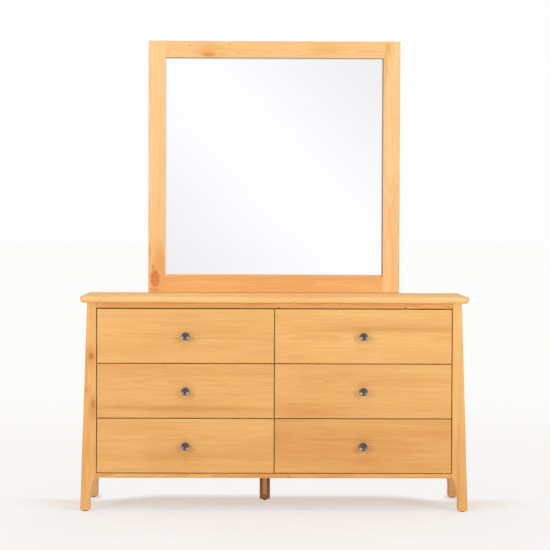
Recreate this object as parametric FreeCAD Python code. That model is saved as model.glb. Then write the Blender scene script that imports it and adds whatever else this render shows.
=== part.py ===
import FreeCAD, Part
import math
import os

from FreeCAD import Vector

# Six-drawer pine dresser with a framed mirror standing on its top.
#
# Millimetres. X runs across the dresser, +Y to the back, +Z up. The origin is on the floor, in the middle
# of the whole object's width and depth. The drawers open towards -Y.

# ------------------------------------------------------------------------------------------------------
# Driving dimensions
# ------------------------------------------------------------------------------------------------------

# Drawer fronts, inset between the legs in columns and rows
FRONT_WIDTH = 682.5
FRONT_HEIGHT = 209.0
FRONT_THICKNESS = 20.0
FRONT_GAP = 3.0
FRONT_EDGE_EASE = 1.5
ROW_NAMES = ("lower", "middle", "upper")

# Case
CASE_DEPTH = 435.0
FLOOR_CLEARANCE = 131.0
BOTTOM_RAIL_HEIGHT = 17.0
TOP_RAIL_HEIGHT = 19.5
TOP_RAIL_GAP = 3.5
RAIL_DEPTH = 50.0
RAIL_EDGE_EASE = 1.0
SIDE_PANEL_THICKNESS = 15.0
SIDE_PANEL_RECESS = 8.0
BACK_PANEL_THICKNESS = 5.0
BACK_RAIL_HEIGHT = 50.0
BACK_RAIL_THICKNESS = 20.0
PARTITION_THICKNESS = 18.0
PARTITION_SETBACK = 2.0
BEARER_WIDTH = 26.0
BEARER_HEIGHT = 22.0

# Top board
TOP_THICKNESS = 25.0
TOP_FRONT_OVERHANG = 15.0
TOP_SIDE_OVERHANG = 27.5
TOP_EDGE_RADIUS = 4.0
TOP_UNDER_RADIUS = 14.0
TOP_CORNER_RADIUS = 18.0

# Splayed legs
LEG_DEPTH = 50.0
LEG_TOP_WIDTH = 35.5
LEG_SPLAY = 26.5
FOOT_WIDTH = 37.5
SCOOP_BOTTOM = 48.0
SCOOP_TOP = 133.0
SCOOP_CORNER_RADIUS = 8.0
FOOT_CORNER_RADIUS = 5.0
LEG_EDGE_EASE = 2.0

# Glides and the T-shaped centre leg
GLIDE_DIAMETER = 22.0
GLIDE_HEIGHT = 4.5
GLIDE_EDGE_EASE = 1.5
CENTRE_FLANGE_WIDTH = 42.0
CENTRE_FLANGE_THICKNESS = 18.0
CENTRE_STEM_WIDTH = 18.0
CENTRE_STEM_FOOT_WIDTH = 16.0
CENTRE_STEM_DEPTH = 40.0
CENTRE_STEM_LIFT = 28.0
CENTRE_LEG_SETBACK = 321.0

# Drawer boxes, which fill the case's depth up to a clearance in front of the back rails
BOX_BACK_CLEARANCE = 10.0
BACK_DEPTH = BACK_PANEL_THICKNESS + BACK_RAIL_THICKNESS + BOX_BACK_CLEARANCE
BOX_DEPTH = CASE_DEPTH - BACK_DEPTH - FRONT_THICKNESS
BOX_HEIGHT = 160.0
BOX_LIFT = 14.0
BOX_SIDE_THICKNESS = 12.0
BOX_BOTTOM_THICKNESS = 5.0
BOX_BOTTOM_LIFT = 12.0
BOX_GROOVE_DEPTH = 6.0
BOX_GROOVE_PLAY = 0.3

# Telescopic slides: three folded steel members that hook behind one another
SLIDE_LENGTH = 350.0
SLIDE_HEIGHT = 45.0
SLIDE_WIDTH = 12.7
SLIDE_SHEET = 1.2
SLIDE_PLAY = 0.4
SLIDE_LIP = 5.0
SLIDE_INNER_LIP = 3.6
SLIDE_SETBACK = 5.0
SLIDE_STAGGER = 4.0
BATTEN_HEIGHT = 50.0

# Knobs, turned about an axis along Y
KNOB_DIAMETER = 32.0
KNOB_PROJECTION = 27.0
KNOB_BASE_DIAMETER = 18.0
KNOB_BASE_THICKNESS = 3.0
KNOB_NECK_DIAMETER = 12.0
KNOB_HEAD_THICKNESS = 8.0
KNOB_RING_WIDTH = 5.0
KNOB_DISH_DEPTH = 1.5

# Mirror
MIRROR_WIDTH = 1020.0
MIRROR_HEIGHT = 1020.0
MIRROR_FRAME_WIDTH = 67.5
MIRROR_FRAME_THICKNESS = 20.0
MIRROR_EDGE_EASE = 2.0
MIRROR_REBATE = 10.0
MIRROR_GLASS_PLAY = 1.0
MIRROR_BOARD_PLAY = 0.3
GLASS_THICKNESS = 5.0
GLASS_EDGE = 3.4
GLASS_BEVEL = 16.0
BACK_BOARD_THICKNESS = 9.0
SUPPORT_WIDTH = 45.0
SUPPORT_THICKNESS = 20.0
SUPPORT_ABOVE_TOP = 700.0

# ------------------------------------------------------------------------------------------------------
# Places worked out from them
# ------------------------------------------------------------------------------------------------------

opening_half = FRONT_WIDTH + 1.5 * FRONT_GAP
leg_top_half = opening_half + LEG_TOP_WIDTH
foot_half = leg_top_half + LEG_SPLAY
foot_inner_half = foot_half - FOOT_WIDTH
top_half = leg_top_half + TOP_SIDE_OVERHANG

rail_top = FLOOR_CLEARANCE + BOTTOM_RAIL_HEIGHT
row_bottoms = [rail_top + FRONT_GAP + i * (FRONT_HEIGHT + FRONT_GAP) for i in range(len(ROW_NAMES))]
top_rail_bottom = row_bottoms[-1] + FRONT_HEIGHT + TOP_RAIL_GAP
top_under = top_rail_bottom + TOP_RAIL_HEIGHT
top_surface = top_under + TOP_THICKNESS

front_y = KNOB_PROJECTION - (KNOB_PROJECTION + CASE_DEPTH + SUPPORT_THICKNESS) / 2
case_back = front_y + CASE_DEPTH
panel_front = case_back - BACK_PANEL_THICKNESS
back_rail_front = panel_front - BACK_RAIL_THICKNESS
leg_back = front_y + LEG_DEPTH
back_leg_front = case_back - LEG_DEPTH
box_front = front_y + FRONT_THICKNESS
box_back = box_front + BOX_DEPTH
slide_front = box_front + SLIDE_SETBACK

mirror_half = MIRROR_WIDTH / 2
mirror_top = top_surface + MIRROR_HEIGHT
mirror_front = case_back - MIRROR_FRAME_THICKNESS
sight_half = mirror_half - MIRROR_FRAME_WIDTH
sight_bottom = top_surface + MIRROR_FRAME_WIDTH
sight_top = mirror_top - MIRROR_FRAME_WIDTH
board_front = case_back - BACK_BOARD_THICKNESS
glass_front = board_front - GLASS_THICKNESS
support_x = mirror_half - MIRROR_FRAME_WIDTH / 2

# Each drawer column lies between a wall on its left and a wall on its right
COLUMNS = {
    "left": (-opening_half, -PARTITION_THICKNESS / 2),
    "right": (PARTITION_THICKNESS / 2, opening_half),
}
X_AXIS = Vector(1, 0, 0)
Y_AXIS = Vector(0, 1, 0)
Z_AXIS = Vector(0, 0, 1)


# ------------------------------------------------------------------------------------------------------
# Helpers
# ------------------------------------------------------------------------------------------------------

def block(x0, x1, y0, y1, z0, z1):
    """Rectangular board between two corners."""
    return Part.makeBox(x1 - x0, y1 - y0, z1 - z0, Vector(x0, y0, z0))


def extrude_xz(corners, y0, y1):
    """Board whose front outline has (x, z) corners, from y0 to y1."""
    points = [Vector(x, y0, z) for x, z in corners]
    return Part.Face(Part.makePolygon(points + points[:1])).extrude(Y_AXIS * (y1 - y0))


def mirrored(shape):
    """The same piece on the other side of the middle plane."""
    return shape.mirror(Vector(0, 0, 0), X_AXIS)


def round_where(shape, radius, chosen):
    """Round the edges whose middle point passes the test."""
    return shape.makeFillet(radius, [edge for edge in shape.Edges if chosen(edge.CenterOfMass, edge)])


def ease_where(shape, size, chosen):
    """Ease the edges whose middle point passes the test with a small flat."""
    return shape.makeChamfer(size, [edge for edge in shape.Edges if chosen(edge.CenterOfMass, edge)])


def near(value, target):
    return abs(value - target) < 0.01


def export(name, *solids):
    """Write one node, as one solid or as a group of separate solids."""
    shape = solids[0] if len(solids) == 1 else Part.makeCompound(list(solids))
    shape.exportStep(os.path.join("parts", name + ".step"))


# ------------------------------------------------------------------------------------------------------
# Case
# ------------------------------------------------------------------------------------------------------

def leg_outer_x(z):
    """Distance of the splayed outer face from the middle plane at a height."""
    return foot_half - LEG_SPLAY * z / top_under


def leg(y0):
    """Right-hand leg: straight splayed outer edge, upright inner edge with a scoop below the rail."""
    drop = SCOOP_TOP - SCOOP_BOTTOM
    sweep = 2 * math.atan((foot_inner_half - opening_half) / drop)
    scoop_radius = drop / math.sin(sweep)
    foot_bottom = GLIDE_HEIGHT
    middle_x = foot_inner_half - scoop_radius * (1 - math.cos(sweep / 2))
    middle_z = SCOOP_BOTTOM + scoop_radius * math.sin(sweep / 2)
    corners = [
        Vector(opening_half, y0, top_under),
        Vector(opening_half, y0, SCOOP_TOP),
        Vector(foot_inner_half, y0, SCOOP_BOTTOM),
        Vector(foot_inner_half, y0, foot_bottom),
        Vector(leg_outer_x(foot_bottom), y0, foot_bottom),
        Vector(leg_outer_x(top_under), y0, top_under),
    ]
    edges = []
    for i, corner in enumerate(corners):
        following = corners[(i + 1) % len(corners)]
        edges.append(Part.LineSegment(corner, following).toShape())
    edges[1] = Part.Arc(corners[1], Vector(middle_x, y0, middle_z), corners[2]).toShape()
    board = Part.Face(Part.Wire(edges)).extrude(Y_AXIS * LEG_DEPTH)

    def along_y(edge):
        return near(abs(edge.tangentAt(edge.FirstParameter).dot(Y_AXIS)), 1)

    def on_outer_face(centre, edge):
        return not along_y(edge) and centre.x > leg_outer_x(centre.z) - 0.1 and centre.z < top_under - 1

    board = round_where(
        board,
        SCOOP_CORNER_RADIUS,
        lambda c, e: along_y(e) and near(c.x, opening_half) and near(c.z, SCOOP_TOP),
    )
    board = round_where(board, FOOT_CORNER_RADIUS, lambda c, e: along_y(e) and near(c.z, foot_bottom))
    return ease_where(board, LEG_EDGE_EASE, on_outer_face)


def side_panel():
    """Right-hand panel, leaning with the legs and set in from their outer faces."""
    outline = []
    for z, inset in (
        (FLOOR_CLEARANCE, SIDE_PANEL_RECESS),
        (top_under, SIDE_PANEL_RECESS),
        (top_under, SIDE_PANEL_RECESS + SIDE_PANEL_THICKNESS),
        (FLOOR_CLEARANCE, SIDE_PANEL_RECESS + SIDE_PANEL_THICKNESS),
    ):
        outline.append((leg_outer_x(z) - inset, z))
    return extrude_xz(outline, leg_back, back_leg_front)


def slide_batten(z_middle):
    """Right-hand batten that fills from the side panel to the plane of the legs' inner faces."""
    inset = SIDE_PANEL_RECESS + SIDE_PANEL_THICKNESS
    low = z_middle - BATTEN_HEIGHT / 2
    high = z_middle + BATTEN_HEIGHT / 2
    outline = [
        (opening_half, low),
        (leg_outer_x(low) - inset, low),
        (leg_outer_x(high) - inset, high),
        (opening_half, high),
    ]
    return extrude_xz(outline, leg_back, back_leg_front)


def top_panel():
    """Top board, rounded at the front corners; its front and ends curve under more than over."""
    front = front_y - TOP_FRONT_OVERHANG
    board = block(-top_half, top_half, front, case_back, top_under, top_surface)
    board = round_where(
        board, TOP_CORNER_RADIUS, lambda c, e: near(c.y, front) and near(abs(c.x), top_half)
    )
    for z, radius in ((top_under, TOP_UNDER_RADIUS), (top_surface, TOP_EDGE_RADIUS)):
        board = round_where(board, radius, lambda c, e: c.y < case_back - 1 and near(c.z, z))
    return board


def front_rail(z0, z1):
    """Rail between the front legs, with eased front edges."""
    rail = block(-opening_half, opening_half, front_y, front_y + RAIL_DEPTH, z0, z1)
    return ease_where(rail, RAIL_EDGE_EASE, lambda c, e: near(c.y, front_y) and near(c.x, 0))


def back_rail(z0):
    return block(-opening_half, opening_half, back_rail_front, panel_front, z0, z0 + BACK_RAIL_HEIGHT)


def centre_partition():
    """Upright between the drawer columns, notched under the top front rail."""
    half = PARTITION_THICKNESS / 2
    front = box_front + PARTITION_SETBACK
    board = block(-half, half, front, back_rail_front, rail_top, top_under)
    notch = block(-half, half, front, front_y + RAIL_DEPTH, top_rail_bottom, top_under)
    return board.cut(notch)


def centre_leg():
    """T section: a flange across the case and a tapered stem in front of it, which stops above the floor."""
    x_middle = -(BEARER_WIDTH + CENTRE_FLANGE_WIDTH) / 2
    flange_front = front_y + CENTRE_LEG_SETBACK
    flange = block(
        x_middle - CENTRE_FLANGE_WIDTH / 2,
        x_middle + CENTRE_FLANGE_WIDTH / 2,
        flange_front,
        flange_front + CENTRE_FLANGE_THICKNESS,
        GLIDE_HEIGHT,
        rail_top,
    )
    stem = extrude_xz(
        [
            (x_middle - CENTRE_STEM_FOOT_WIDTH / 2, CENTRE_STEM_LIFT),
            (x_middle + CENTRE_STEM_FOOT_WIDTH / 2, CENTRE_STEM_LIFT),
            (x_middle + CENTRE_STEM_WIDTH / 2, rail_top),
            (x_middle - CENTRE_STEM_WIDTH / 2, rail_top),
        ],
        flange_front - CENTRE_STEM_DEPTH,
        flange_front,
    )
    glide_y = flange_front + CENTRE_FLANGE_THICKNESS / 2
    return flange, stem, glide(x_middle, glide_y, CENTRE_FLANGE_THICKNESS)


def glide(x, y, diameter=GLIDE_DIAMETER):
    """Round glide under a foot, with an eased lower edge."""
    disc = Part.makeCylinder(diameter / 2, GLIDE_HEIGHT, Vector(x, y, 0), Z_AXIS)
    return ease_where(disc, GLIDE_EDGE_EASE, lambda c, e: near(c.z, 0) and len(e.Vertexes) == 1)


# ------------------------------------------------------------------------------------------------------
# Telescopic slides
# ------------------------------------------------------------------------------------------------------

def folded_section(upper_path):
    """Section of a folded sheet.

    upper_path lists the centre line's points (across, up) from the free edge to the web; the lower half
    is the same line upside down.
    """
    path = [Vector(a, 0, u) for a, u in upper_path]
    path += [Vector(p.x, 0, -p.z) for p in reversed(path)]
    left = []
    right = []
    for i, point in enumerate(path):
        before = point - path[i - 1] if i > 0 else path[1] - point
        after = path[i + 1] - point if i < len(path) - 1 else before
        before.normalize()
        after.normalize()
        normal_before = Vector(-before.z, 0, before.x)
        normal_after = Vector(-after.z, 0, after.x)
        offset = (normal_before + normal_after) * (SLIDE_SHEET / 2 / (1 + normal_before.dot(normal_after)))
        left.append(point + offset)
        right.append(point - offset)
    outline = left + right[::-1]
    return Part.Face(Part.makePolygon(outline + outline[:1]))


def slide_sections():
    """Sections of the cabinet, intermediate and drawer members.

    Across runs from the case wall (0) to the drawer side (SLIDE_WIDTH), up from the slide's middle line.
    """
    half_sheet = SLIDE_SHEET / 2
    step = SLIDE_SHEET + SLIDE_PLAY
    top = SLIDE_HEIGHT / 2 - half_sheet
    cabinet_lip_x = SLIDE_WIDTH - 2 * step - half_sheet
    lip_end = SLIDE_HEIGHT / 2 - SLIDE_LIP
    cabinet = [(cabinet_lip_x, lip_end), (cabinet_lip_x, top), (half_sheet, top)]

    web_x = half_sheet + step
    shoulder_x = cabinet_lip_x - step
    flange_z = lip_end - SLIDE_PLAY - half_sheet
    inner_lip_x = SLIDE_WIDTH - step + half_sheet - SLIDE_PLAY
    inner_lip_end = flange_z + half_sheet - SLIDE_INNER_LIP
    intermediate = [
        (inner_lip_x, inner_lip_end),
        (inner_lip_x, flange_z),
        (shoulder_x, flange_z),
        (shoulder_x, top - step),
        (web_x, top - step),
    ]

    hook_x = inner_lip_x - step
    drawer_web_x = SLIDE_WIDTH - half_sheet
    hook_end = flange_z - half_sheet - SLIDE_PLAY
    drawer_flange_z = inner_lip_end - SLIDE_PLAY - half_sheet
    drawer = [(hook_x, hook_end), (hook_x, drawer_flange_z), (drawer_web_x, drawer_flange_z)]
    return folded_section(cabinet), folded_section(intermediate), folded_section(drawer)


SECTIONS = slide_sections()


def slide_member(index, wall_x, away, z_middle):
    """One member on a wall at wall_x, with the drawer on the side that away points to (+1 or -1)."""
    member = SECTIONS[index].extrude(Y_AXIS * (SLIDE_LENGTH - index * SLIDE_STAGGER))
    if away < 0:
        member = mirrored(member)
    member.translate(Vector(wall_x, slide_front, z_middle))
    return member


# ------------------------------------------------------------------------------------------------------
# Drawers
# ------------------------------------------------------------------------------------------------------

def knob(x, z):
    """Turned knob: base, neck and a head whose face is dished inside a ring."""
    head = KNOB_DIAMETER / 2
    base = KNOB_BASE_DIAMETER / 2
    neck = KNOB_NECK_DIAMETER / 2
    ring_inner = head - KNOB_RING_WIDTH
    head_back = KNOB_PROJECTION - KNOB_HEAD_THICKNESS
    dish = KNOB_PROJECTION - KNOB_DISH_DEPTH
    profile = [
        (0, 0),
        (base, 0),
        (base, KNOB_BASE_THICKNESS),
        (neck, KNOB_BASE_THICKNESS),
        (neck, head_back),
        (head, head_back),
        (head, KNOB_PROJECTION),
        (ring_inner, KNOB_PROJECTION),
        (ring_inner, dish),
        (0, dish),
    ]
    points = [Vector(x + across, front_y - out, z) for across, out in profile]
    section = Part.Face(Part.makePolygon(points + points[:1]))
    return section.revolve(Vector(x, 0, z), Y_AXIS, 360)


def drawer(column, row, z0):
    """All of one drawer's own pieces, with its front's lower edge at z0."""
    wall_low, wall_high = COLUMNS[column]
    name = f"{ROW_NAMES[row]}_{column}"
    front_x0 = -opening_half + FRONT_GAP if column == "left" else FRONT_GAP / 2
    front_x1 = front_x0 + FRONT_WIDTH

    box_x0 = wall_low + SLIDE_WIDTH
    box_x1 = wall_high - SLIDE_WIDTH
    box_z0 = z0 + BOX_LIFT
    box_z1 = box_z0 + BOX_HEIGHT
    bottom_z0 = box_z0 + BOX_BOTTOM_LIFT
    bottom_z1 = bottom_z0 + BOX_BOTTOM_THICKNESS
    inner_x0 = box_x0 + BOX_SIDE_THICKNESS
    inner_x1 = box_x1 - BOX_SIDE_THICKNESS

    groove = block(
        inner_x0 - BOX_GROOVE_DEPTH,
        inner_x1 + BOX_GROOVE_DEPTH,
        box_front - BOX_GROOVE_DEPTH,
        box_back,
        bottom_z0,
        bottom_z1 + BOX_GROOVE_PLAY,
    )
    front = block(front_x0, front_x1, front_y, box_front, z0, z0 + FRONT_HEIGHT)
    front = ease_where(front, FRONT_EDGE_EASE, lambda c, e: near(c.y, front_y))
    export(f"drawer_front_{name}", front.cut(groove))

    sides = []
    for x0 in (box_x0, inner_x1):
        side = block(x0, x0 + BOX_SIDE_THICKNESS, box_front, box_back, box_z0, box_z1)
        sides.append(side.cut(groove))
    back = block(
        inner_x0, inner_x1, box_back - BOX_SIDE_THICKNESS, box_back, bottom_z1 + BOX_GROOVE_PLAY, box_z1
    )
    export(f"drawer_box_{name}", sides[0], sides[1], back)

    bottom = block(
        inner_x0 - BOX_GROOVE_DEPTH + BOX_GROOVE_PLAY,
        inner_x1 + BOX_GROOVE_DEPTH - BOX_GROOVE_PLAY,
        box_front - BOX_GROOVE_DEPTH + BOX_GROOVE_PLAY,
        box_back,
        bottom_z0,
        bottom_z1,
    )
    export(f"drawer_bottom_{name}", bottom)
    export(f"knob_{name}", knob((front_x0 + front_x1) / 2, z0 + FRONT_HEIGHT / 2))

    slide_z = box_z0 + BOX_HEIGHT / 2
    walls = ((wall_low, 1), (wall_high, -1))
    export(f"slide_inner_members_{name}", *[slide_member(2, x, away, slide_z) for x, away in walls])
    export(f"slide_middle_members_{name}", *[slide_member(1, x, away, slide_z) for x, away in walls])
    return [slide_member(0, x, away, slide_z) for x, away in walls]


# ------------------------------------------------------------------------------------------------------
# Mirror
# ------------------------------------------------------------------------------------------------------

def mirror_rebate():
    """Space behind the frame's front lip that takes the glass and the back board."""
    return block(
        -sight_half - MIRROR_REBATE,
        sight_half + MIRROR_REBATE,
        glass_front,
        case_back,
        sight_bottom - MIRROR_REBATE,
        sight_top + MIRROR_REBATE,
    )


def mirror_stile():
    """Right-hand stile, full height."""
    stile = block(sight_half, mirror_half, mirror_front, case_back, top_surface, mirror_top)
    stile = ease_where(
        stile, MIRROR_EDGE_EASE, lambda c, e: near(c.y, mirror_front) and not near(c.x, sight_half)
    )
    return stile.cut(mirror_rebate())


def mirror_rail(z0):
    """Rail between the stiles, above z0, with its outer front edge eased."""
    rail = block(-sight_half, sight_half, mirror_front, case_back, z0, z0 + MIRROR_FRAME_WIDTH)
    outer_z = top_surface if near(z0, top_surface) else mirror_top
    rail = ease_where(
        rail, MIRROR_EDGE_EASE, lambda c, e: near(c.y, mirror_front) and near(c.z, outer_z)
    )
    return rail.cut(mirror_rebate())


def mirror_glass():
    """Bevelled mirror plate in the rebate."""
    half = sight_half + MIRROR_REBATE - MIRROR_GLASS_PLAY
    z0 = sight_bottom - MIRROR_REBATE + MIRROR_GLASS_PLAY
    z1 = sight_top + MIRROR_REBATE - MIRROR_GLASS_PLAY
    edge_front = board_front - GLASS_EDGE
    plate = block(-half, half, edge_front, board_front, z0, z1)

    def frame_wire(inset, y):
        points = [
            Vector(-half + inset, y, z0 + inset),
            Vector(half - inset, y, z0 + inset),
            Vector(half - inset, y, z1 - inset),
            Vector(-half + inset, y, z1 - inset),
            Vector(-half + inset, y, z0 + inset),
        ]
        return Part.makePolygon(points)

    crown = Part.makeLoft([frame_wire(0, edge_front), frame_wire(GLASS_BEVEL, glass_front)], True, True)
    return plate.fuse(crown).removeSplitter()


def mirror_back_board():
    inset = MIRROR_REBATE - MIRROR_BOARD_PLAY
    return block(
        -sight_half - inset,
        sight_half + inset,
        board_front,
        case_back,
        sight_bottom - inset,
        sight_top + inset,
    )


def mirror_support():
    """Right-hand support batten behind the frame and the case."""
    return block(
        support_x - SUPPORT_WIDTH / 2,
        support_x + SUPPORT_WIDTH / 2,
        case_back,
        case_back + SUPPORT_THICKNESS,
        FLOOR_CLEARANCE,
        top_surface + SUPPORT_ABOVE_TOP,
    )


# ------------------------------------------------------------------------------------------------------
# Assembly
# ------------------------------------------------------------------------------------------------------

def export_case():
    export("top_panel", top_panel())
    for place, y0 in (("front", front_y), ("back", back_leg_front)):
        right = leg(y0)
        export(f"{place}_leg_right", right)
        export(f"{place}_leg_left", mirrored(right))
    panel = side_panel()
    export("side_panel_right", panel)
    export("side_panel_left", mirrored(panel))
    export("top_front_rail", front_rail(top_rail_bottom, top_under))
    export("bottom_front_rail", front_rail(FLOOR_CLEARANCE, rail_top))
    rails = [back_rail(FLOOR_CLEARANCE), back_rail(top_under - BACK_RAIL_HEIGHT)]
    export("back_rails", *rails)
    back = block(-opening_half, opening_half, panel_front, case_back, FLOOR_CLEARANCE, top_under)
    export("back_panel", back)
    export("centre_partition", centre_partition())
    half = BEARER_WIDTH / 2
    bearer = block(-half, half, front_y + RAIL_DEPTH, back_rail_front, rail_top - BEARER_HEIGHT, rail_top)
    export("centre_bearer", bearer)

    flange, stem, centre_glide = centre_leg()
    export("centre_leg", flange, stem)
    foot_x = (leg_outer_x(GLIDE_HEIGHT) + foot_inner_half) / 2
    glides = [centre_glide]
    for y in (front_y + LEG_DEPTH / 2, case_back - LEG_DEPTH / 2):
        right = glide(foot_x, y)
        glides += [right, mirrored(right)]
    export("foot_glides", *glides)


def export_drawers():
    cabinet_members = []
    battens = []
    for row, z0 in enumerate(row_bottoms):
        for column in COLUMNS:
            cabinet_members += drawer(column, row, z0)
        batten = slide_batten(z0 + BOX_LIFT + BOX_HEIGHT / 2)
        battens += [batten, mirrored(batten)]
    export("slide_cabinet_members", *cabinet_members)
    export("slide_battens", *battens)


def export_mirror():
    stile = mirror_stile()
    export("mirror_stile_right", stile)
    export("mirror_stile_left", mirrored(stile))
    export("mirror_rails", mirror_rail(top_surface), mirror_rail(sight_top))
    export("mirror_glass", mirror_glass())
    export("mirror_back_board", mirror_back_board())
    support = mirror_support()
    export("mirror_supports", support, mirrored(support))


os.makedirs("parts", exist_ok=True)
export_case()
export_drawers()
export_mirror()
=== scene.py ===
import math

import bmesh
import bpy
from mathutils import Matrix, Vector


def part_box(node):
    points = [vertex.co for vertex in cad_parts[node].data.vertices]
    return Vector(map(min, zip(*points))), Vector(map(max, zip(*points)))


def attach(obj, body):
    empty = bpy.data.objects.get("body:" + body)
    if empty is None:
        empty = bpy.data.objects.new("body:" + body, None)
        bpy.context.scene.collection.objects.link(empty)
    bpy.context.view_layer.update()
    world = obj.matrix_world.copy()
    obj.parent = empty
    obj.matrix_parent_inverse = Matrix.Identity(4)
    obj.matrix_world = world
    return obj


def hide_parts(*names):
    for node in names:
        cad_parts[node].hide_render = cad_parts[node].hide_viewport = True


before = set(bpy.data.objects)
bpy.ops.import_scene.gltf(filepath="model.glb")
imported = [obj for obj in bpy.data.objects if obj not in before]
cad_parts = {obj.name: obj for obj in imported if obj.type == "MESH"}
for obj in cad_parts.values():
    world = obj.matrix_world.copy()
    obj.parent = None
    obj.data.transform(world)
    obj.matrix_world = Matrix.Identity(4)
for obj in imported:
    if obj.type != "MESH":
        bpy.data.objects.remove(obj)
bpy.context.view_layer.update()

# Looks of a honey pine dresser with a framed mirror. Metres, with +Z up and the drawers opening towards -Y.

# ----------------------------------------------------------------------------------------------------
# Named values
# ----------------------------------------------------------------------------------------------------

# Camera, as found from the edges in the picture
IMAGE_WIDTH = 550
SENSOR_WIDTH = 36.0
FOCAL_PIXELS = 1948.8
CAMERA_PLACE = Vector((-0.0740, -7.7156, 1.1301))
CAMERA_DOWN = math.radians(1.634)
CAMERA_TURN = math.radians(0.571)
CAMERA_ROLL = math.radians(0.202)

# Soft boxes at both sides of the camera, one large light above, two behind at the sides, and the room's
SOFTBOX_PLACE = Vector((2.5, -3.0, 1.7))
SOFTBOX_AIM = Vector((0.0, 0.0, 0.85))
SOFTBOX_SIZE = (0.7, 1.2)
SOFTBOX_POWER = 42.5
TOP_LIGHT_PLACE = Vector((0.0, -1.6, 4.0))
TOP_LIGHT_SIZE = (2.4, 2.4)
TOP_LIGHT_POWER = 36.0
BACK_LIGHT_PLACE = Vector((3.4, 3.2, 1.3))
BACK_LIGHT_SIZE = (1.6, 1.6)
BACK_LIGHT_POWER = 38.0
TOP_AND_BACK_AIM = Vector((0.0, 0.2, 0.8))
ROOM_LIGHT = 0.4
BACKGROUND_GREY = 253

# Floor: the share of plain glow in what is seen of it. It grows to 1 behind the dresser's shadow (along Y),
# beside it (along X) and around it, each from a first place to a second. Towards the shadow's ends along X
# it grows further forward by the shift.
FLOOR_HALF = 80.0
FLOOR_GLOW_NEAR = 0.55
FLOOR_CLEAR_BEHIND = (0.14, 0.31)
FLOOR_CLEAR_BESIDE = (0.76, 1.1)
FLOOR_CLEAR_AROUND = (1.2, 2.6)
FLOOR_CLEAR_ENDS = (0.45, 0.70)
FLOOR_CLEAR_SHIFT = 0.13

# The glow's own colour: where along Y it takes a warm tint, painted warm shade under the dresser, and how
# far off it turns pale
FLOOR_WARM_SHADE_Y = (-0.20, 0.10)
FLOOR_PALE_FROM = (0.5, 6.0)

# Shadow kept round the two back glides: a glide's radius, the reach along X and Y, and the soft edge as
# shares of that reach
GLIDE_RADIUS = 0.011
FOOT_SHADE_REACH = (0.045, 0.10)
FOOT_SHADE_EDGE = (0.3, 1.0)

# Card behind the camera, which only reflections show. A diagonal band through its centre, given in X and Z,
# falls off from its peak. Past the bright part the card is even and a little darker.
CARD_Y = -16.0
CARD_HALF_WIDTH = 25.0
CARD_HEIGHT = 25.0
CARD_CENTRE = (0.15, 1.78)
CARD_SCALE = 1.34
CARD_PEAK = 1.06
CARD_FALL = 0.09
CARD_ROUNDING = 0.15
CARD_LEAST = 0.8
CARD_BRIGHT_X = (-6.0, 5.5)
CARD_BRIGHT_Z = 6.8
CARD_SOFTNESS = 2.0
CARD_DARK = 0.92

# Small rounding of sharp edges, the angle that counts as sharp, and what is cleaned up before it
BOARD_EASE = 0.0006
SHEET_EASE = 0.0002
SHARP_ANGLE = math.radians(35)
FLAT_ANGLE = math.radians(0.5)
WELD_DISTANCE = 0.00001

# Growth rings of the pine, their mean darkness, and how far their middle lies from a board's own
RING_SPACING = 0.0046
LATE_MEAN = 0.38
PITH_DEPTH = 0.034
PITH_SPREAD = 0.085

# How far a knot bends the rings, and the step from one board's seed to the next
KNOT_SWIRL = 0.006
SEED_STEP = 2.3

# Width after which a board's figure changes: glued staves, veneers, boards in one node, or never
TOP_STAVE = 0.0905
SIDE_STAVE = 0.085
DRAWER_VENEER = 0.6
BACK_VENEER = 0.47
MIRROR_BACK_VENEER = 0.45
RAILS_APART = 0.3
BATTENS_APART = 0.2
ONE_BOARD = 5.0

# Widths and thicknesses inside nodes that hold more than one board, and how far before them a look changes
BATTEN_WIDTH = 0.045
BOX_WALL = 0.012
BEFORE_WALL = 0.0002
CENTRE_FLANGE = 0.018
BEFORE_FLANGE = 0.001

# How much darker the centre leg's flange is than its stem: partly darker wood, partly painted shade
FLANGE_TONE_AND_SHADE = 1.05

# Painted shade: a dark line along two of the mirror's sight edges, its widths and its strength
MIRROR_SHADE_RIGHT = 0.005
MIRROR_SHADE_TOP = 0.003
MIRROR_SHADE_DEPTH = 0.65

# Knobs and the screws inside the drawers that hold them
KNOB_DISH_EDGE = 0.0144
KNOB_DISH_RADIUS = 0.030
KNOB_SCREW_RADIUS = 0.0042
WASHER_RADIUS = 0.0065
WASHER_HEIGHT = 0.001
WASHER_EASE = 0.0002

# Screws through a support batten: heights from the mirror frame's foot, and one down from the batten's top
SUPPORT_SCREWS_UP = (-0.60, -0.09, 0.12)
SUPPORT_SCREW_DOWN = 0.08
SUPPORT_SCREW_RADIUS = 0.0045

# Slide fittings: a member's sheet thickness, its screws as shares of its length, and its lever
SLIDE_SHEET = 0.0012
SLIDE_SCREW_SHARES = (0.1, 0.5, 0.88)
SLIDE_SCREW_RADIUS = 0.0034
LEVER_FROM_END = 0.085
LEVER_HALF = 0.0032
LEVER_THICKNESS = 0.0022

# Steps round turned pieces
KNOB_STEPS = 64
SCREW_STEPS = 48
PIN_STEPS = 24

TO_FRONT = Vector((0, -1, 0))
TO_BACK = Vector((0, 1, 0))

COLUMNS = ("left", "right")
ROWS = ("lower", "middle", "upper")
DRAWERS = [f"{row}_{column}" for row in ROWS for column in COLUMNS]


def srgb(red, green, blue):
    """Linear colour with alpha, from the 0 to 255 values of a screen colour."""
    channels = []
    for value in (red, green, blue):
        share = value / 255
        channels.append(share / 12.92 if share <= 0.04045 else ((share + 0.055) / 1.055) ** 2.4)
    return (*channels, 1.0)


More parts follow.
